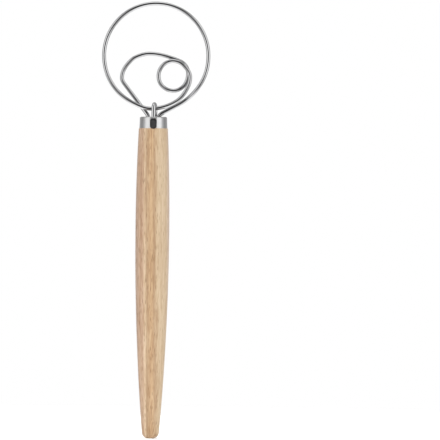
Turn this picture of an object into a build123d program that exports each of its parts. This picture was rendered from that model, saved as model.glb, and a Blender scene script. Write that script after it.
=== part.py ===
"""A dough whisk: a looped steel wire whisk set into a turned wooden handle.

Millimetres. Z runs up the axis of the handle towards the wire ring, X to the right and -Y to the
front, where the ferrule has its window. The origin is the hanging point: the spot on the inside of
the ring, right over the handle's axis, that rests on a hook when the whisk hangs by its ring.
"""
from build123d import *
import math
import os

# Wire
WIRE_DIAMETER = 3.0
WIRE_GAP = 0.45
RING_RADIUS = 39.5
RING_SIDESTEP = 1.6
BINDING_RISE = 6.3

# Bends where the wire goes down into the handle
BEND_RADIUS = 8.0
RIGHT_CORNER_RISE = 0.8
LEFT_CORNER_RISE = 0.2
STRAIGHTENING_RADIUS = 25.0

# Binding staple
STAPLE_CLEARANCE = 0.25
STAPLE_YAW = 12.0
STAPLE_DEPTH = 26.0
SHANK_DEPTH = 34.0

# Ferrule
FERRULE_HEIGHT = 8.7
FERRULE_TOP_DIAMETER = 20.4
FERRULE_RIM_DIAMETER = 21.0
FERRULE_WALL = 0.6
FERRULE_EDGE_ROUND = 1.1
FERRULE_BEND_ROUND = 0.5
MOUTH_MARGIN = 0.4

# Window in the front of the ferrule
WINDOW_WIDTH = 5.15
WINDOW_TOP_DROP = 1.5
WINDOW_OVERHANG = 0.5
WINDOW_TOP_ROUND = 1.8
WINDOW_BOTTOM_ROUND = 2.45

# Handle
HANDLE_LENGTH = 234.7
HANDLE_SHOULDER_STEP = 0.55
HANDLE_SHOULDER_ROUND = 0.6
BELLY_DIAMETER = 25.7
BELLY_DROP = 77.0
BUTT_DIAMETER = 12.3
BUTT_ROUND = 4.9
TENON_CHAMFER = 0.6
TENON_CLEARANCE = 0.05

# Bore and potting resin
RESIN_FILM = 0.6
RESIN_TOP_DROP = 0.9
RESIN_FACE_RECESS = 0.9
BORE_BELOW_SHANKS = 4.0
DRILL_POINT_ANGLE = 118.0

# Overrun of every cut past the face that it opens
OVERRUN = 2.0

# Share of a run's length that it may stray from a line and still count as straight
STRAIGHTNESS_SHARE = 1e-6

# Largest share of the window's half width that its corners may take
FULLEST_ROUND_SHARE = 0.96

# Places along the wire. A stop inside the ring is its place in shares of the ring's radius from the
# ring's centre (right, up), its heading in degrees turning left from +X, and its depth behind the
# ring in shares of the wire's pitch. A shank is its place in shares of the pitch from the axis.
RIGHT_SHANK_SHARES = (0.80, 0.03)
LEFT_SHANK_SHARES = (-1.00, 0.58)
STAPLE_CENTRE_SHARE = 0.19
SIDE_BY_SIDE_SHARES = (0.86, 0.62)
RING_FOOT_SHARES = (-0.050, -1.015, 4.0, 0.0)
FIRST_PASS_SHARES = (0.396, -0.871, 34.0, -0.30)
CURL_SHARES = [
    (0.621, -0.576, 66.0, -0.30),
    (0.655, -0.415, 90.0, -0.26),
    (0.533, -0.185, 136.0, -0.14),
    (0.327, -0.099, 180.0, -0.02),
    (0.048, -0.388, 270.0, 0.26),
    (0.121, -0.579, 313.0, 0.39),
    (0.332, -0.670, 360.0, 0.52),
    (0.531, -0.577, 409.0, 0.66),
    (0.614, -0.330, 451.0, 0.82),
    (0.555, -0.173, 490.0, 0.91),
    (0.463, -0.103, 514.0, 0.97),
]
INNER_LOOP_SHARES = [
    (0.284, -0.035, 522.0, 1.02),
    (-0.003, 0.031, 533.0, 1.04),
    (-0.130, 0.038, 540.0, 1.04),
    (-0.390, -0.031, 565.0, 1.04),
    (-0.562, -0.182, 592.0, 1.04),
    (-0.654, -0.425, 630.0, 1.04),
    (-0.604, -0.547, 667.4, 1.05),
]
LEFT_CROSSING_SHARES = (-0.256, -1.002, 1.05)

# Where the wire runs on the big ring itself: degrees turning left from its right side, and how far
# out it lies there in shares of the ring's radius
RING_SHARES = [
    (-32.0, 1.009),
    (5.0, 1.0),
    (90.0, 1.0),
    (180.0, 1.0),
    (240.0, 1.008),
]

# Worked out from the sizes above
WIRE_RADIUS = WIRE_DIAMETER / 2
WIRE_PITCH = WIRE_DIAMETER + WIRE_GAP
RING_INSIDE_RADIUS = RING_RADIUS - WIRE_RADIUS
RING_CENTRE_Z = -math.sqrt(RING_INSIDE_RADIUS**2 - RING_SIDESTEP**2)
BINDING_Z = RING_CENTRE_Z + RING_FOOT_SHARES[1] * RING_RADIUS
FERRULE_TOP_Z = BINDING_Z - BINDING_RISE
FERRULE_RIM_Z = FERRULE_TOP_Z - FERRULE_HEIGHT
HANDLE_END_Z = FERRULE_RIM_Z - HANDLE_LENGTH
TENON_TOP_Z = FERRULE_TOP_Z - FERRULE_WALL
RESIN_TOP_Z = FERRULE_TOP_Z - RESIN_TOP_DROP
SHANK_END_Z = FERRULE_TOP_Z - SHANK_DEPTH
BORE_END_Z = SHANK_END_Z - BORE_BELOW_SHANKS
STAPLE_SPAN_RADIUS = WIRE_DIAMETER + STAPLE_CLEARANCE
FERRULE_TAPER = (FERRULE_RIM_DIAMETER - FERRULE_TOP_DIAMETER) / 2 / FERRULE_HEIGHT


def shank_place(shares):
    """Where a shank stands round the handle's axis, seen from above."""
    right_share, depth_share = shares
    return right_share * WIRE_PITCH, depth_share * WIRE_PITCH


def staple_places():
    """Where the two legs of the binding staple stand, front one first."""
    yaw = math.radians(STAPLE_YAW)
    reach = Vector(math.sin(yaw), math.cos(yaw), 0) * STAPLE_SPAN_RADIUS
    centre = Vector(STAPLE_CENTRE_SHARE * WIRE_PITCH, 0, 0)
    return centre - reach, centre + reach


def bundle_radius():
    """Radius of the smallest round bore that takes all four shanks."""
    shanks = [shank_place(RIGHT_SHANK_SHARES), shank_place(LEFT_SHANK_SHARES)]
    legs = [(leg.X, leg.Y) for leg in staple_places()]
    return max(math.hypot(x, y) for x, y in shanks + legs) + WIRE_RADIUS


BORE_RADIUS = bundle_radius() + RESIN_FILM
MOUTH_RADIUS = BORE_RADIUS + MOUTH_MARGIN


def ferrule_outer_radius(z):
    """Outer radius of the tapered ferrule at a height."""
    return FERRULE_TOP_DIAMETER / 2 + (FERRULE_TOP_Z - z) * FERRULE_TAPER


def heading_vector(heading, climb=0.0):
    """Unit direction of a heading in the ring's plane, with the depth that it gains per length."""
    angle = math.radians(heading)
    return Vector(math.cos(angle), climb, math.sin(angle)).normalized()


def ring_stop(angle, reach_share):
    """Point and direction on the big ring, at an angle turning left from its right side."""
    reach = heading_vector(angle) * (reach_share * RING_RADIUS)
    centre = Vector(RING_SIDESTEP, 0, RING_CENTRE_Z)
    return centre + reach, heading_vector(angle + 90)


def inside_point(right_share, up_share, depth_share):
    """A point inside the ring, from its shares of the ring's radius and of the wire's pitch."""
    right = RING_SIDESTEP + right_share * RING_RADIUS
    up = RING_CENTRE_Z + up_share * RING_RADIUS
    return Vector(right, depth_share * WIRE_PITCH, up)


def inside_stops(table, before, after):
    """Stops of a table, each climbing in depth at the mean rate of the runs beside it."""
    points = [inside_point(x, z, depth) for x, z, heading, depth in table]
    headings = [heading for x, z, heading, depth in table]
    around = [before] + points + [after]
    stops = []
    for index, point in enumerate(points):
        run = around[index + 2] - around[index]
        climb = run.Y / ((point - around[index]).length + (around[index + 2] - point).length)
        stops.append((point, heading_vector(headings[index], climb)))
    return stops


def rounded_corner(before, corner, after, radius):
    """The two stops where an arc of a radius leaves and meets the runs on each side of a corner."""
    arriving = (corner - before).normalized()
    leaving = (after - corner).normalized()
    half_turn = math.radians(arriving.get_angle(leaving)) / 2
    reach = radius * math.tan(half_turn)
    return [(corner - arriving * reach, arriving), (corner + leaving * reach, leaving)]


def right_leg():
    """From the end of the right shank to where it lies beside the first pass of the curl."""
    x, y = shank_place(RIGHT_SHANK_SHARES)
    foot = Vector(x, y, SHANK_END_Z)
    corner = Vector(x, y, FERRULE_TOP_Z + RIGHT_CORNER_RISE)
    aside_share, depth_share = SIDE_BY_SIDE_SHARES
    right_share, up_share, heading, pass_depth_share = FIRST_PASS_SHARES
    outward = heading_vector(heading - 90)
    beside = inside_point(right_share, up_share, depth_share) + outward * (aside_share * WIRE_PITCH)
    stops = [(foot, Vector(0, 0, 1))]
    stops += rounded_corner(foot, corner, beside, BEND_RADIUS)
    stops.append((beside, (beside - corner).normalized()))
    return stops


def left_leg(loop_end):
    """From the left corner of the inner loop, behind the ring, down to the end of the left shank."""
    x, y = shank_place(LEFT_SHANK_SHARES)
    crossing = inside_point(*LEFT_CROSSING_SHARES)
    corner = Vector(x, y, FERRULE_TOP_Z + LEFT_CORNER_RISE)
    foot = Vector(x, y, SHANK_END_Z)
    stops = rounded_corner(loop_end, crossing, corner, STRAIGHTENING_RADIUS)
    stops += rounded_corner(crossing, corner, foot, BEND_RADIUS)
    stops.append((foot, Vector(0, 0, -1)))
    return stops


def whisk_stops():
    """Every stop of the one unbroken wire, from the right shank's end to the left shank's end."""
    right_share, up_share, heading, depth_share = RING_FOOT_SHARES
    foot = inside_point(right_share, up_share, depth_share)
    ring = [ring_stop(angle, reach_share) for angle, reach_share in RING_SHARES]
    ring.append((foot, heading_vector(heading)))
    crossing = inside_point(*LEFT_CROSSING_SHARES)
    inside = inside_stops([FIRST_PASS_SHARES] + CURL_SHARES + INNER_LOOP_SHARES, foot, crossing)
    loop_end = inside[-1][0]
    inside[-1] = (loop_end, (crossing - loop_end).normalized())
    return right_leg() + ring + inside + left_leg(loop_end)


def biarc(start, finish):
    """Two arcs, or one line, that join two stops and keep the direction at both."""
    (point_a, way_a), (point_b, way_b) = start, finish
    chord = point_b - point_a
    ways = way_a + way_b
    spread = 2 * (1 - way_a.dot(way_b))
    along = chord.dot(ways)
    if chord.cross(way_a).length + chord.cross(way_b).length < STRAIGHTNESS_SHARE * chord.length:
        return [Line(point_a, point_b)]
    if spread < STRAIGHTNESS_SHARE:
        reach = chord.dot(chord) / (2 * along)
    else:
        reach = (math.sqrt(along**2 + spread * chord.dot(chord)) - along) / spread
    handle_a = point_a + way_a * reach
    handle_b = point_b - way_b * reach
    middle = (handle_a + handle_b) / 2
    return [
        TangentArc(point_a, middle, tangent=way_a),
        TangentArc(middle, point_b, tangent=handle_b - handle_a),
    ]


def wire_along(stops):
    """A round wire swept along its stops, and the path that it follows."""
    edges = [edge for start, finish in zip(stops, stops[1:]) for edge in biarc(start, finish)]
    path = Wire(edges)
    section = Plane(origin=stops[0][0], z_dir=stops[0][1]) * Circle(WIRE_RADIUS)
    return sweep(section, path=path), path


def least_gap(path):
    """Least air gap between two passes of a wire, measured on points along it."""
    steps = math.ceil(path.length / WIRE_RADIUS)
    points = [path.position_at(step / steps) for step in range(steps + 1)]
    skip = math.ceil(math.pi * WIRE_DIAMETER / WIRE_RADIUS)
    pairs = ((a, b) for index, a in enumerate(points) for b in points[index + skip:])
    return min((a - b).length for a, b in pairs) - WIRE_DIAMETER


def make_whisk_wire():
    """The unbroken wire: two shanks, the big ring, the curl and the inner loop."""
    wire, path = wire_along(whisk_stops())
    swept_volume = path.length * math.pi * WIRE_RADIUS**2
    print(f"whisk wire: length {path.length:.1f} mm, volume over section times length "
          f"{wire.volume / swept_volume:.5f}, least gap to itself {least_gap(path):.2f} mm")
    return wire


def make_binding_staple():
    """The U of the same wire that straddles the foot of the ring and goes down into the bore."""
    front, back = staple_places()
    front_way = (front - back).normalized()
    shoulder = Vector(0, 0, BINDING_Z)
    foot = Vector(0, 0, FERRULE_TOP_Z - STAPLE_DEPTH)
    top = (front + back) / 2 + shoulder + Vector(0, 0, STAPLE_SPAN_RADIUS)
    stops = [
        (front + foot, Vector(0, 0, 1)),
        (front + shoulder, Vector(0, 0, 1)),
        (top, -front_way),
        (back + shoulder, Vector(0, 0, -1)),
        (back + foot, Vector(0, 0, -1)),
    ]
    return wire_along(stops)[0]


def make_bore():
    """The drilled space for the shanks: a round bore with a drill point at its end."""
    point_depth = BORE_RADIUS / math.tan(math.radians(DRILL_POINT_ANGLE / 2))
    top = TENON_TOP_Z + OVERRUN
    outline = Polyline(
        (0, top),
        (BORE_RADIUS, top),
        (BORE_RADIUS, BORE_END_Z),
        (0, BORE_END_Z - point_depth),
        close=True,
    )
    return revolve(Plane.XZ * make_face(outline), Axis.Z)


def make_window(reach):
    """The window's shape, cut from the axis forwards to a distance."""
    top = FERRULE_TOP_Z - WINDOW_TOP_DROP
    bottom = FERRULE_RIM_Z - WINDOW_OVERHANG
    fullest_round = FULLEST_ROUND_SHARE * WINDOW_WIDTH / 2
    face = Pos(0, (top + bottom) / 2) * Rectangle(WINDOW_WIDTH, top - bottom)
    corners = face.vertices().group_by(Axis.Y)
    face = fillet(corners[-1], min(WINDOW_TOP_ROUND, fullest_round))
    face = fillet(face.vertices().group_by(Axis.Y)[0], min(WINDOW_BOTTOM_ROUND, fullest_round))
    return extrude(Plane.XZ * face, reach)


def make_ferrule():
    """The drawn steel cap, with a mouth for the wires and the window in its front."""
    rim_inside = ferrule_outer_radius(FERRULE_RIM_Z) - FERRULE_WALL
    top_inside = ferrule_outer_radius(TENON_TOP_Z) - FERRULE_WALL
    outline = Polyline(
        (MOUTH_RADIUS, FERRULE_TOP_Z),
        (FERRULE_TOP_DIAMETER / 2, FERRULE_TOP_Z),
        (FERRULE_RIM_DIAMETER / 2, FERRULE_RIM_Z),
        (rim_inside, FERRULE_RIM_Z),
        (top_inside, TENON_TOP_Z),
        (MOUTH_RADIUS, TENON_TOP_Z),
        close=True,
    )
    section = make_face(outline)
    outside_corner = section.vertices().sort_by_distance((FERRULE_TOP_DIAMETER / 2, FERRULE_TOP_Z))[0]
    section = fillet(outside_corner, FERRULE_EDGE_ROUND)
    inside_corner = section.vertices().sort_by_distance((top_inside, TENON_TOP_Z))[0]
    section = fillet(inside_corner, FERRULE_BEND_ROUND)
    cap = revolve(Plane.XZ * section, Axis.Z)
    return cap - make_window(FERRULE_RIM_DIAMETER / 2 + OVERRUN)


def make_handle():
    """The turned handle: a tenon for the ferrule, a long belly and a rounded butt."""
    tenon_top = ferrule_outer_radius(TENON_TOP_Z) - FERRULE_WALL - TENON_CLEARANCE
    tenon_rim = ferrule_outer_radius(FERRULE_RIM_Z) - FERRULE_WALL - TENON_CLEARANCE
    shoulder = Vector(FERRULE_RIM_DIAMETER / 2 + HANDLE_SHOULDER_STEP, FERRULE_RIM_Z)
    belly = Vector(BELLY_DIAMETER / 2, FERRULE_RIM_Z - BELLY_DROP)
    butt = Vector(BUTT_DIAMETER / 2, HANDLE_END_Z)
    tenon = Polyline(
        (0, HANDLE_END_Z),
        (0, TENON_TOP_Z),
        (tenon_top - TENON_CHAMFER, TENON_TOP_Z),
        (tenon_top + TENON_CHAMFER * FERRULE_TAPER, TENON_TOP_Z - TENON_CHAMFER),
        (tenon_rim, FERRULE_RIM_Z),
        shoulder,
    )
    swell = TangentArc(belly, shoulder, tangent=(0, 1))
    taper = TangentArc(belly, butt, tangent=(0, -1))
    end = Line(butt, (0, HANDLE_END_Z))
    section = make_face(tenon.edges() + swell.edges() + taper.edges() + end.edges())
    section = fillet(section.vertices().sort_by_distance(shoulder)[0], HANDLE_SHOULDER_ROUND)
    section = fillet(section.vertices().sort_by_distance(butt)[0], BUTT_ROUND)
    turned = revolve(Plane.XZ * section, Axis.Z)
    pocket = make_window(FERRULE_RIM_DIAMETER / 2 + HANDLE_SHOULDER_STEP + OVERRUN)
    return turned - make_bore() - pocket


def make_potting_resin(whisk_wire, binding_staple):
    """The dark resin that fills the bore round the shanks and backs the window."""
    face_reach = ferrule_outer_radius(FERRULE_TOP_Z) - FERRULE_WALL - RESIN_FACE_RECESS
    filling = make_bore() + make_window(face_reach)
    above = Pos(0, 0, RESIN_TOP_Z) * Box(
        FERRULE_RIM_DIAMETER,
        FERRULE_RIM_DIAMETER,
        FERRULE_HEIGHT,
        align=(Align.CENTER, Align.CENTER, Align.MIN),
    )
    return filling - above - whisk_wire - binding_staple


whisk_wire = make_whisk_wire()
binding_staple = make_binding_staple()
nodes = {
    "handle": make_handle(),
    "ferrule": make_ferrule(),
    "whisk_wire": whisk_wire,
    "binding_staple": binding_staple,
    "potting_resin": make_potting_resin(whisk_wire, binding_staple),
}

os.makedirs("parts", exist_ok=True)
for name, shape in nodes.items():
    export_step(shape, f"parts/{name}.step")
    box = shape.bounding_box()
    print(f"{name}: {box.size.X:.1f} x {box.size.Y:.1f} x {box.size.Z:.1f} mm")
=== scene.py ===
# %% [markdown]
# # A dough whisk: bright wire, a satin ferrule and a turned wooden handle
#
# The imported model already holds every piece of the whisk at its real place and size. This lesson
# dresses it: it sets the camera, the floor and a soft light tent, and then works out one finish
# after another, from what the real material is and how its surface was made.

import math

import bmesh
import bpy
from mathutils import Matrix, Vector


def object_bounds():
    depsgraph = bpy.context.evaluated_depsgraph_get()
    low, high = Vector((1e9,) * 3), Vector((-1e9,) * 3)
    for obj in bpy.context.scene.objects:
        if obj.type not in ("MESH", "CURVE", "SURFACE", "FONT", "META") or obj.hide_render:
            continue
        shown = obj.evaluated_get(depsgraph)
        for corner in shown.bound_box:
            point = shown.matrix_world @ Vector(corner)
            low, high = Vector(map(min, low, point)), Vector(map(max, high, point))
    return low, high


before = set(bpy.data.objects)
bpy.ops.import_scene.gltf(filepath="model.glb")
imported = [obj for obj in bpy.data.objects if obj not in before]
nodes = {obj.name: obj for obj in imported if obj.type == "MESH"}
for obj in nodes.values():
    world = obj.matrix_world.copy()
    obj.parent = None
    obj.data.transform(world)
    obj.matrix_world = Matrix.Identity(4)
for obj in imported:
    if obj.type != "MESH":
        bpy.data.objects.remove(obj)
CAD_LOW, CAD_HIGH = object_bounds()
print("pieces:", sorted(nodes))

# %% [markdown]
# ## The camera
#
# The whisk was photographed square from the front with a long lens: the ring is round, the passes
# of the wire that lie behind it are no smaller, and the ends of the handle look flat. The picture
# is 440 pixels square and one pixel is 0.757 mm. The whisk stands left of its middle and its top
# leans a little to the right, by 0.575 degrees. A camera far away with a narrow lens gives this
# without any shift: it faces the spot that lies at the picture's middle and is rolled by the lean.
#
# Blender works in metres and radians here, while a whisk is measured in millimetres and degrees.
# So sizes are written as a number of millimetres times MM, and turns as degrees times DEGREE.

# %% Camera
MM = 0.001
DEGREE = math.radians(1)
PICTURE_SIDE = 440
PIXEL = 0.7572 * MM
CAMERA_DISTANCE = 5000 * MM
# A new camera looks straight down, and this turn makes it look level.
LEVEL = 90 * DEGREE
LEAN = 0.575 * DEGREE
MIDDLE_RIGHT, MIDDLE_UP = 51.13 * MM, -161.92 * MM
SIGHT_REACH = 4 * CAMERA_DISTANCE

camera_data = bpy.data.cameras.new("front_camera")
camera = bpy.data.objects.new("front_camera", camera_data)
bpy.context.scene.collection.objects.link(camera)
bpy.context.scene.camera = camera
half_picture = PICTURE_SIDE * PIXEL / 2
camera_data.lens = camera_data.sensor_width / 2 * CAMERA_DISTANCE / half_picture
camera_data.clip_end = SIGHT_REACH
camera.rotation_euler = (LEVEL, -LEAN, 0)
camera.location = (MIDDLE_RIGHT, -CAMERA_DISTANCE, MIDDLE_UP)
print("lens", round(camera_data.lens), "mm, picture", round(2 * half_picture / MM), "mm wide")

# %% [markdown]
# ## The light tent
#
# Polished steel has no colour of its own: it shows what stands around it. In the photograph every
# wire has a dark line along its middle and pale lines beside it, and the ferrule is bright left
# and right of its middle and grey at its sides. So the whisk hung in a tent of white cloth, lit by
# a wide softbox at each side of the camera, with a dark gap between them where the camera looks
# in. Lamps would give this too, but their reflections end in hard edges, where cloth shades off
# softly. So the world itself is the tent: one list gives its brightness all round at eye level,
# from the back over the left, the camera and the right to the back again, and another gives it
# from the floor to the ceiling. A second gap at the back gives the wires the same dark lines
# when they are seen from behind. The camera itself sees plain white behind the whisk.

# %% The tent's brightness
# Angles in degrees, each with a grey value from 0 to 1. All round, 0 is towards the camera, minus
# is left of it and plus is right of it. Upwards, 0 is level.
WHOLE_TURN, HALF_TURN = 360, 180
BRIGHTEST_CLOTH = 1.7
CLOTH_ALL_ROUND = [
    (-180, 0.03),
    (-162, 0.03),
    (-154, 0.36),
    (-128, 0.24),
    (-112, 0.19),
    (-88, 0.34),
    (-62, 0.87),
    (-33, 0.87),
    (-28, 0.005),
    (28, 0.005),
    (33, 0.97),
    (64, 0.97),
    (86, 0.37),
    (112, 0.19),
    (128, 0.24),
    (154, 0.36),
    (162, 0.03),
    (180, 0.03),
]
CLOTH_UPWARDS = [
    (-90, 1.00),
    (-62, 1.00),
    (-50, 0.75),
    (-36, 0.45),
    (-20, 0.20),
    (36, 0.10),
    (54, 0.25),
    (70, 0.80),
    (90, 0.90),
]
# Below and above the level list, the upwards list takes over between the two heights of an end.
SOFTBOX_LOW_END, SOFTBOX_HIGH_END = (-28, -14), (36, 54)
print("tent:", len(CLOTH_ALL_ROUND), "brightnesses all round,", len(CLOTH_UPWARDS), "upwards")

# %% [markdown]
# ## Colours and nodes
#
# The tent, like every finish after it, is a tree of shader nodes: boxes that each do one small
# thing to a number, a vector or a colour. One function adds a node, and short ones add the kinds
# that come often. Colours are written as the sRGB hex values that a paint program shows, and a
# function turns them into the linear values that shaders count in.

# %% Colours
WHITE = "#FFFFFF"
FULL_CHANNEL = 255
SRGB_KNEE, SRGB_SLOPE, SRGB_OFFSET, SRGB_POWER = 0.04045, 12.92, 0.055, 2.4


def linear_channel(value):
    """One sRGB channel, 0 to 1, as linear light."""
    if value <= SRGB_KNEE:
        return value / SRGB_SLOPE
    return ((value + SRGB_OFFSET) / (1 + SRGB_OFFSET)) ** SRGB_POWER


def colour(hex_text):
    """An sRGB hex colour as linear red, green, blue and alpha."""
    channels = bytes.fromhex(hex_text.lstrip("#"))
    return tuple(linear_channel(channel / FULL_CHANNEL) for channel in channels) + (1.0,)


print(f"grey #BCBCBC is {colour('#BCBCBC')[0]:.3f} in linear light")

# %% Nodes
# A mix node has sockets for numbers, vectors and colours; these are the places of the colour ones.
MIX_FACTOR, MIX_UNDER, MIX_OVER, MIX_RESULT = 0, 6, 7, 2


def add(tree, kind, inputs=(), **settings):
    """A shader node with its settings; each input is a value or another node's output."""
    node = tree.nodes.new(kind)
    for name, value in settings.items():
        setattr(node, name, value)
    for name, value in dict(inputs).items():
        if isinstance(value, bpy.types.NodeSocket):
            tree.links.new(value, node.inputs[name])
        else:
            node.inputs[name].default_value = value
    return node


def maths(tree, operation, *values):
    """The result of an operation on one, two or three numbers."""
    return add(tree, "ShaderNodeMath", dict(enumerate(values)), operation=operation).outputs[0]


def mapped(tree, value, span, result=(0, 1), interpolation="LINEAR"):
    """A value carried from one range into another, whose ends it doesn't pass."""
    return add(tree, "ShaderNodeMapRange", {
        "Value": value,
        "From Min": span[0],
        "From Max": span[1],
        "To Min": result[0],
        "To Max": result[1],
    }, interpolation_type=interpolation).outputs[0]


def mixed(tree, share, under, over, blend="MIX"):
    """A colour with a share of another one over it."""
    sockets = {MIX_FACTOR: share, MIX_UNDER: under, MIX_OVER: over}
    node = add(tree, "ShaderNodeMix", sockets, data_type="RGBA", blend_type=blend)
    return node.outputs[MIX_RESULT]


def ramp(tree, factor, stops, interpolation="LINEAR"):
    """The colour that a factor from 0 to 1 picks from a list of places and linear colours."""
    node = add(tree, "ShaderNodeValToRGB", {"Fac": factor})
    node.color_ramp.interpolation = interpolation
    elements = node.color_ramp.elements
    elements[0].position, elements[0].color = stops[0]
    elements[1].position, elements[1].color = stops[-1]
    for place, shade in stops[1:-1]:
        elements.new(place).color = shade
    return node.outputs["Color"]


helpers = (add, maths, mapped, mixed, ramp)
print("helpers for nodes:", ", ".join(helper.__name__ for helper in helpers))

# %% How the lists are read
HALF = 1 / 2


def around(angle, whole):
    """Where an angle lies in a range that runs from minus a half to plus a half of a whole one."""
    return angle / whole + HALF


def brightness_list(tree, factor, stops, whole):
    """The brightness that a list of angles and grey values gives."""
    greys = [(around(angle, whole), (grey, grey, grey, 1)) for angle, grey in stops]
    return ramp(tree, factor, greys, "EASE")


def faded(tree, elevation, clear, full):
    """How much of the softboxes is left at a height, from clear of them to fully inside."""
    return mapped(tree, elevation, (clear * DEGREE, full * DEGREE), interpolation="SMOOTHSTEP")


print("the camera's side is", around(0, WHOLE_TURN), "of the way round")

# %% The tent
world = bpy.data.worlds.new("light_tent")
bpy.context.scene.world = world
world.use_nodes = True
tent = world.node_tree
tent.nodes.clear()
way = add(tent, "ShaderNodeTexCoord").outputs["Generated"]
axes = add(tent, "ShaderNodeSeparateXYZ", {0: way}).outputs
towards_camera = maths(tent, "MULTIPLY", axes["Y"], -1)
azimuth = maths(tent, "ARCTAN2", axes["X"], towards_camera)
elevation = maths(tent, "ARCSINE", axes["Z"])
turned = maths(tent, "MULTIPLY_ADD", azimuth, 1 / math.tau, HALF)
raised = maths(tent, "MULTIPLY_ADD", elevation, 1 / math.pi, HALF)
level_cloth = brightness_list(tent, turned, CLOTH_ALL_ROUND, WHOLE_TURN)
steep_cloth = brightness_list(tent, raised, CLOTH_UPWARDS, HALF_TURN)
above_low_end = faded(tent, elevation, *SOFTBOX_LOW_END)
below_high_end = faded(tent, elevation, *reversed(SOFTBOX_HIGH_END))
level_share = maths(tent, "MULTIPLY", above_low_end, below_high_end)
cloth = mixed(tent, level_share, steep_cloth, level_cloth)
lighting = add(tent, "ShaderNodeBackground", {"Color": cloth, "Strength": BRIGHTEST_CLOTH})
backdrop = add(tent, "ShaderNodeBackground", {"Color": colour(WHITE), "Strength": 1})
# Both shader sockets of this node have the same name, so they are given by their places.
either = add(tent, "ShaderNodeMixShader", {
    0: add(tent, "ShaderNodeLightPath").outputs["Is Camera Ray"],
    1: lighting.outputs[0],
    2: backdrop.outputs[0],
})
add(tent, "ShaderNodeOutputWorld", {"Surface": either.outputs[0]})
bpy.context.scene.view_settings.view_transform = "Standard"
print("the brightest cloth is", BRIGHTEST_CLOTH, "times as bright as the backdrop")

# %% [markdown]
# ## A fill light
#
# Matt wood needs more light than polished steel, because it sends light back in every direction.
# A photographer adds big lamps far away and hides them from the steel with polarising sheets.
# Here the lamps are simply left out of glossy reflections, so the steel keeps its dark lines. One
# stands over the camera and a weaker one behind the whisk, which lifts the handle's edges.

# %% Fill lamps
FILL_SIDE, FILL_DISTANCE = 2400 * MM, 3000 * MM
FILL_HEIGHT_ANGLE = 48 * DEGREE
FRONT_RADIANCE, BACK_RADIANCE = 3.5, 2.5


def hang_fill_lamp(name, towards_front, radiance):
    """A wide soft lamp, high in front of the whisk or behind it, that steel doesn't mirror."""
    lamp_data = bpy.data.lights.new(name, "AREA")
    lamp_data.size = FILL_SIDE
    lamp_data.energy = radiance * math.pi * FILL_SIDE ** 2
    lamp = bpy.data.objects.new(name, lamp_data)
    forward, upward = math.cos(FILL_HEIGHT_ANGLE), math.sin(FILL_HEIGHT_ANGLE)
    lamp_way = Vector((0, -towards_front * forward, upward))
    lamp.location = (CAD_LOW + CAD_HIGH) / 2 + lamp_way * FILL_DISTANCE
    lamp.rotation_euler = lamp_way.to_track_quat("Z", "Y").to_euler()
    lamp.visible_camera = False
    lamp.visible_glossy = False
    bpy.context.scene.collection.objects.link(lamp)
    print(f"{name} {FILL_SIDE:.1f} m wide, {lamp_data.energy:.0f} watts")


hang_fill_lamp("front_fill", 1, FRONT_RADIANCE)
hang_fill_lamp("back_fill", -1, BACK_RADIANCE)

# %% [markdown]
# ## The floor
#
# A pale board stands in for the studio floor, right under the butt of the handle. It is the milky
# sheet of a light table, lit a little from below, so that it is as white as the room behind. A
# plain plane would end in a hard edge, so the board fades out with the distance from the whisk
# and only its soft contact shadow stays. Steel doesn't mirror the board but the tent's own lower
# cloth, which is darker: that keeps the undersides of the wires as dark as in the photograph.

# %% The board
FLOOR_RADIUS, FADE_START = 900 * MM, 300 * MM
FLOOR_SIDES = 96

board = bmesh.new()
bmesh.ops.create_circle(board, cap_ends=True, segments=FLOOR_SIDES, radius=FLOOR_RADIUS,
                        matrix=Matrix.Translation((0, 0, CAD_LOW.z)))
floor_mesh = bpy.data.meshes.new("floor")
board.to_mesh(floor_mesh)
board.free()
floor = bpy.data.objects.new("floor", floor_mesh)
bpy.context.scene.collection.objects.link(floor)
floor.visible_glossy = False
print(f"floor at {CAD_LOW.z / MM:.1f} mm")

# %% The board's finish
BOARD_WHITE = "#F8F8F7"
BOARD_ROUGHNESS = 0.9
BOARD_GLOW = 0.12


def new_material(name):
    """An empty material tree with its Principled shader, ready for settings."""
    material = bpy.data.materials.new(name)
    material.use_nodes = True
    tree = material.node_tree
    return material, tree, tree.nodes["Principled BSDF"]


def places_on(tree):
    """The places of a piece, in metres."""
    return add(tree, "ShaderNodeTexCoord").outputs["Object"]


def vector_maths(tree, operation, *values):
    """The node that does an operation on two or three vectors."""
    return add(tree, "ShaderNodeVectorMath", dict(enumerate(values)), operation=operation)


def make_board_finish():
    """Matt white that glows a little and fades out far from the whisk."""
    material, tree, skin = new_material("matt white board")
    skin.inputs["Base Color"].default_value = colour(BOARD_WHITE)
    skin.inputs["Roughness"].default_value = BOARD_ROUGHNESS
    skin.inputs["Emission Color"].default_value = colour(WHITE)
    skin.inputs["Emission Strength"].default_value = BOARD_GLOW
    reach = vector_maths(tree, "DISTANCE", places_on(tree), (0, 0, CAD_LOW.z)).outputs["Value"]
    shown = mapped(tree, reach, (FADE_START, FLOOR_RADIUS), (1, 0), "SMOOTHSTEP")
    tree.links.new(shown, skin.inputs["Alpha"])
    return material


floor_mesh.materials.append(make_board_finish())
print("floor wears", floor_mesh.materials[0].name)

# %% [markdown]
# ## Rubberwood
#
# The handle is turned from rubberwood: a pale, straight-grained wood with broad bands of pinkish,
# golden and cream colour, fine fibres, and short dark pores that run along the grain. It is
# sanded and hardly finished, so it stays matt. A picture of wood would slide round the handle and
# stretch at its end. So the wood is solid: its growth rings stand round a pith far to the left of
# the handle, and the turned surface cuts through them, as it does on the real one. Seen from the
# front the rings are cut square, which gives upright bands; the sides show them cut along, which
# gives broad tongues of one colour.

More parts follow.
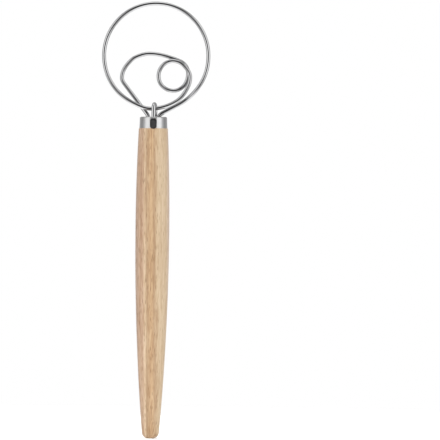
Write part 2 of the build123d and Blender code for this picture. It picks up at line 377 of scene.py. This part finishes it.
# %% Where the grain runs
# The pith is so far left of the handle that the rings bend only a little inside it.
PITH_LEFT = 130 * MM
GRAIN_LEAN = 0.57 * DEGREE
WANDER = 0.28 * MM
WANDER_ACROSS, WANDER_ALONG = 14 * MM, 90 * MM
PLAIN_DETAIL = 2


def stretched(tree, places, across, upwards):
    """Texture space where one unit is a mark's width across and its length upwards."""
    return add(tree, "ShaderNodeMapping", {
        "Vector": places,
        "Scale": (1 / across, 1 / across, 1 / upwards),
    }).outputs[0]


def grain_space(tree):
    """Places in the wood, turned along the grain and swaying as a grown trunk does."""
    upright = add(tree, "ShaderNodeMapping", {
        "Vector": places_on(tree),
        "Rotation": (0, GRAIN_LEAN, 0),
    }).outputs[0]
    sway = add(tree, "ShaderNodeTexNoise", {
        "Vector": stretched(tree, upright, WANDER_ACROSS, WANDER_ALONG),
        "Scale": 1,
        "Detail": PLAIN_DETAIL,
    }).outputs["Color"]
    centred = vector_maths(tree, "SUBTRACT", sway, (HALF, HALF, HALF)).outputs[0]
    both_ways = (2 * WANDER, 2 * WANDER, 0)
    return vector_maths(tree, "MULTIPLY_ADD", centred, both_ways, upright).outputs[0]


def ring_reach(tree, grain):
    """How far right of the grain's axis the growth ring of a place passes."""
    level = vector_maths(tree, "MULTIPLY", grain, (1, 1, 0)).outputs[0]
    radius = vector_maths(tree, "DISTANCE", level, (-PITH_LEFT, 0, 0)).outputs["Value"]
    return maths(tree, "SUBTRACT", radius, PITH_LEFT)


print("the pith stands", round(PITH_LEFT / MM), "mm left of the handle's axis")

# %% Growth bands
# The inner bands are the colours that a growth ring goes through; the outermost ones, DEEP_ROSE on
# the left and MAUVE on the right, are simply greyer, which makes the handle greyer at its left and
# right edges as seen from the front. The handle is cut from these bands, and each is given by how
# many millimetres right of the grain's own axis it passes.
DEEP_ROSE, ROSE, MAUVE = "#BAA394", "#C7AC96", "#C6B4A9"
CREAM, BROWN, GOLD, STRAW = "#D9C5AC", "#BAA084", "#C6AA8A", "#CAB69B"
BAND_REACH = 14 * MM
GROWTH_BANDS = [
    (-14.0, DEEP_ROSE),
    (-10.8, ROSE),
    (-8.2, ROSE),
    (-7.3, CREAM),
    (-6.7, CREAM),
    (-5.5, BROWN),
    (-2.5, GOLD),
    (-1.5, GOLD),
    (0.4, BROWN),
    (2.8, STRAW),
    (8.8, STRAW),
    (11.2, MAUVE),
    (14.0, MAUVE),
]


def hex_ramp(tree, factor, stops):
    """The colour that a factor from 0 to 1 picks from a list of places and hex colours."""
    return ramp(tree, factor, [(place, colour(hex_text)) for place, hex_text in stops])


def growth_bands(tree, reach):
    """The colour of a growth ring."""
    place = mapped(tree, reach, (-BAND_REACH, BAND_REACH))
    bands = [(around(right * MM, 2 * BAND_REACH), hex_text) for right, hex_text in GROWTH_BANDS]
    return hex_ramp(tree, place, bands)


print("growth bands:", len(GROWTH_BANDS), "over", round(2 * BAND_REACH / MM), "mm")

# %% Streaks, fibres and pores
# Width across and length along the grain of each kind of mark.
STREAK_ACROSS, STREAK_ALONG = 1.5 * MM, 55 * MM
FIBRE_ACROSS, FIBRE_ALONG = 0.75 * MM, 9 * MM
# How strong each finer layer of their noise is beside the layer before it.
FINER_LAYER_SHARE = 0.6
STREAK_TINTS = [(0.30, "#DFD0C1"), (0.46, "#F3ECE3"), (0.62, "#FFFDF8")]
FIBRE_TINTS = [(0.30, "#E4D9CC"), (0.58, WHITE)]
# The wood is divided into long cells with one pore in each, which reaches from its middle over a
# share of the cell's width. A real pore is about 0.2 mm wide; these are drawn about twice as wide,
# so that some of them show from afar.
PORE_ACROSS, PORE_ALONG = 0.9 * MM, 10 * MM
PORE_REACH_SHARE = 0.24
PORE_BROWN, PORE_STRENGTH_SHARE = "#7C5B3B", 0.9
# Vessels are many in the left half and few in the right one, which shows softer marks.
MARKS_FADE_START, MARKS_FADE_END = 1.0 * MM, 5.0 * MM
FAINT_MARKS_SHARE = 0.6


def wood_mark(tree, grain, across, along):
    """Long soft noise that runs with the grain."""
    return add(tree, "ShaderNodeTexNoise", {
        "Vector": stretched(tree, grain, across, along),
        "Scale": 1,
        "Detail": PLAIN_DETAIL,
        "Roughness": FINER_LAYER_SHARE,
    }).outputs["Fac"]


def wood_pores(tree, grain):
    """Short thin marks where the turned surface cuts open the wood's vessels."""
    cells = add(tree, "ShaderNodeTexVoronoi", {
        "Vector": stretched(tree, grain, PORE_ACROSS, PORE_ALONG),
        "Scale": 1,
    })
    edge = (PORE_REACH_SHARE / 2, PORE_REACH_SHARE)
    return mapped(tree, cells.outputs["Distance"], edge, (1, 0), "SMOOTHSTEP")


print(f"pores up to {2 * PORE_REACH_SHARE * PORE_ACROSS / MM:.2f} mm wide")


# %% The wood's colour
def wood_colour(tree, reach, marked_share, streaks, fibres, pores):
    """Growth bands stained by streaks and fibres, with dark pores in them."""
    bands = growth_bands(tree, reach)
    streak_tint = hex_ramp(tree, streaks, STREAK_TINTS)
    fibre_tint = hex_ramp(tree, fibres, FIBRE_TINTS)
    streaked = mixed(tree, marked_share, bands, streak_tint, "MULTIPLY")
    fibred = mixed(tree, marked_share, streaked, fibre_tint, "MULTIPLY")
    pore_share = maths(tree, "MULTIPLY", pores, PORE_STRENGTH_SHARE)
    return mixed(tree, pore_share, fibred, colour(PORE_BROWN))


print("tints:", len(STREAK_TINTS), "for streaks,", len(FIBRE_TINTS), "for fibres, 1 for pores")

# %% The wood's finish
PORE_DEPTH, FIBRE_DEPTH = 0.06 * MM, 0.02 * MM
# Raised fibres are rubbed smoother than the hollows between them, and the torn fibre ends that
# sanding leaves catch a little light at the handle's edges.
HOLLOW_ROUGHNESS, RAISED_ROUGHNESS = 0.62, 0.48
WOOD_REFRACTION = 1.45
FUZZ_SHARE, FUZZ_ROUGHNESS = 0.2, 0.3


def relief(tree, height):
    """The bump of a surface whose height is given in metres."""
    return add(tree, "ShaderNodeBump", {"Height": height, "Strength": 1, "Distance": 1}).outputs[0]


def wear(node_name, material):
    """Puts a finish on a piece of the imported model."""
    for slot in nodes[node_name].material_slots:
        slot.material = material
    print(node_name, "wears", material.name)


def make_rubberwood():
    """Sanded rubberwood: solid growth bands, streaks, fibres and sunken pores."""
    material, tree, skin = new_material("sanded rubberwood")
    grain = grain_space(tree)
    reach = ring_reach(tree, grain)
    fade = (MARKS_FADE_START, MARKS_FADE_END)
    marked_share = mapped(tree, reach, fade, (1, FAINT_MARKS_SHARE), "SMOOTHSTEP")
    streaks = wood_mark(tree, grain, STREAK_ACROSS, STREAK_ALONG)
    fibres = wood_mark(tree, grain, FIBRE_ACROSS, FIBRE_ALONG)
    pores = maths(tree, "MULTIPLY", wood_pores(tree, grain), marked_share)
    shade = wood_colour(tree, reach, marked_share, streaks, fibres, pores)
    fibre_height = maths(tree, "MULTIPLY", fibres, FIBRE_DEPTH)
    height = maths(tree, "MULTIPLY_ADD", pores, -PORE_DEPTH, fibre_height)
    roughness = mapped(tree, fibres, (0, 1), (HOLLOW_ROUGHNESS, RAISED_ROUGHNESS))
    tree.links.new(shade, skin.inputs["Base Color"])
    tree.links.new(roughness, skin.inputs["Roughness"])
    tree.links.new(relief(tree, height), skin.inputs["Normal"])
    skin.inputs["IOR"].default_value = WOOD_REFRACTION
    skin.inputs["Sheen Weight"].default_value = FUZZ_SHARE
    skin.inputs["Sheen Roughness"].default_value = FUZZ_ROUGHNESS
    return material


wear("handle", make_rubberwood())

# %% [markdown]
# ## Bright stainless steel wire
#
# The wire is drawn stainless steel, bent on pegs and then polished in a tumbler. That leaves it
# bright but not a perfect mirror: tiny dents and drawing lines blur what it shows a little.

# %% Wire finish
DENT_SIZE = 0.7 * MM
DENT_DEPTH = 0.0012 * MM
WIRE_GREY = "#C8C8C9"
WIRE_ROUGHNESS = (0.07, 0.16)


def dress_steel(tree, skin, marks, depth, roughness, grey):
    """Steel whose marks have a depth in metres and blur its mirror image more in some spots."""
    height = maths(tree, "MULTIPLY", marks, depth)
    tree.links.new(mapped(tree, marks, (0, 1), roughness), skin.inputs["Roughness"])
    tree.links.new(relief(tree, height), skin.inputs["Normal"])
    skin.inputs["Base Color"].default_value = colour(grey)
    skin.inputs["Metallic"].default_value = 1


def make_bright_wire():
    """Tumble-polished stainless steel: sharp dark and light lines, slightly soft at their edges."""
    material, tree, skin = new_material("tumble-polished stainless steel")
    dents = add(tree, "ShaderNodeTexNoise", {
        "Vector": places_on(tree),
        "Scale": 1 / DENT_SIZE,
        "Detail": PLAIN_DETAIL,
    }).outputs["Fac"]
    dress_steel(tree, skin, dents, DENT_DEPTH, WIRE_ROUGHNESS, WIRE_GREY)
    return material


bright_wire = make_bright_wire()
wear("whisk_wire", bright_wire)
wear("binding_staple", bright_wire)

# %% [markdown]
# ## Satin ferrule
#
# The ferrule is a cap drawn from thin stainless sheet and spun against a polishing belt. That
# leaves faint lines round it, and they spread what it mirrors up and down, but hardly sideways,
# so the eye sees soft upright bands of light. The shader's anisotropy gives that spread, and a
# stretched noise gives the lines.

# %% Ferrule finish
# Belt lines are finer than 0.1 mm; these are drawn 0.4 mm high, so that some of them show.
LINE_HEIGHT, LINE_LENGTH = 0.4 * MM, 14 * MM
LINE_DEPTH = 0.002 * MM
FINE_DETAIL = 3
FERRULE_GREY = "#D4D4D4"
FERRULE_ROUGHNESS = (0.32, 0.46)
SPREAD_SHARE, QUARTER_TURN_SHARE = 0.9, 0.25


def make_satin_ferrule():
    """Satin drawn steel: soft upright bands of light and faint lines round the cap."""
    material, tree, skin = new_material("satin drawn stainless steel")
    lines = add(tree, "ShaderNodeTexNoise", {
        "Vector": stretched(tree, places_on(tree), LINE_LENGTH, LINE_HEIGHT),
        "Scale": 1,
        "Detail": FINE_DETAIL,
    }).outputs["Fac"]
    dress_steel(tree, skin, lines, LINE_DEPTH, FERRULE_ROUGHNESS, FERRULE_GREY)
    skin.inputs["Anisotropic"].default_value = SPREAD_SHARE
    skin.inputs["Anisotropic Rotation"].default_value = QUARTER_TURN_SHARE
    return material


wear("ferrule", make_satin_ferrule())

# %% [markdown]
# ## Potting resin
#
# A dark resin fills the bore round the wires and shows in the ferrule's window. It was poured, so
# it is smooth with a soft gloss, and a little uneven where it shrank.

# %% Resin finish
RIPPLE_SIZE = 3 * MM
RIPPLE_DEPTH = 0.05 * MM
RESIN_SHADES = [(0.3, "#353536"), (0.7, "#454546")]
RESIN_ROUGHNESS, RESIN_REFRACTION = 0.42, 1.52


def make_dark_resin():
    """Cast dark grey resin with a soft gloss."""
    material, tree, skin = new_material("cast dark resin")
    ripples = add(tree, "ShaderNodeTexNoise", {
        "Vector": places_on(tree),
        "Scale": 1 / RIPPLE_SIZE,
        "Detail": FINE_DETAIL,
    }).outputs["Fac"]
    height = maths(tree, "MULTIPLY", ripples, RIPPLE_DEPTH)
    tree.links.new(hex_ramp(tree, ripples, RESIN_SHADES), skin.inputs["Base Color"])
    tree.links.new(relief(tree, height), skin.inputs["Normal"])
    skin.inputs["Roughness"].default_value = RESIN_ROUGHNESS
    skin.inputs["IOR"].default_value = RESIN_REFRACTION
    return material


wear("potting_resin", make_dark_resin())
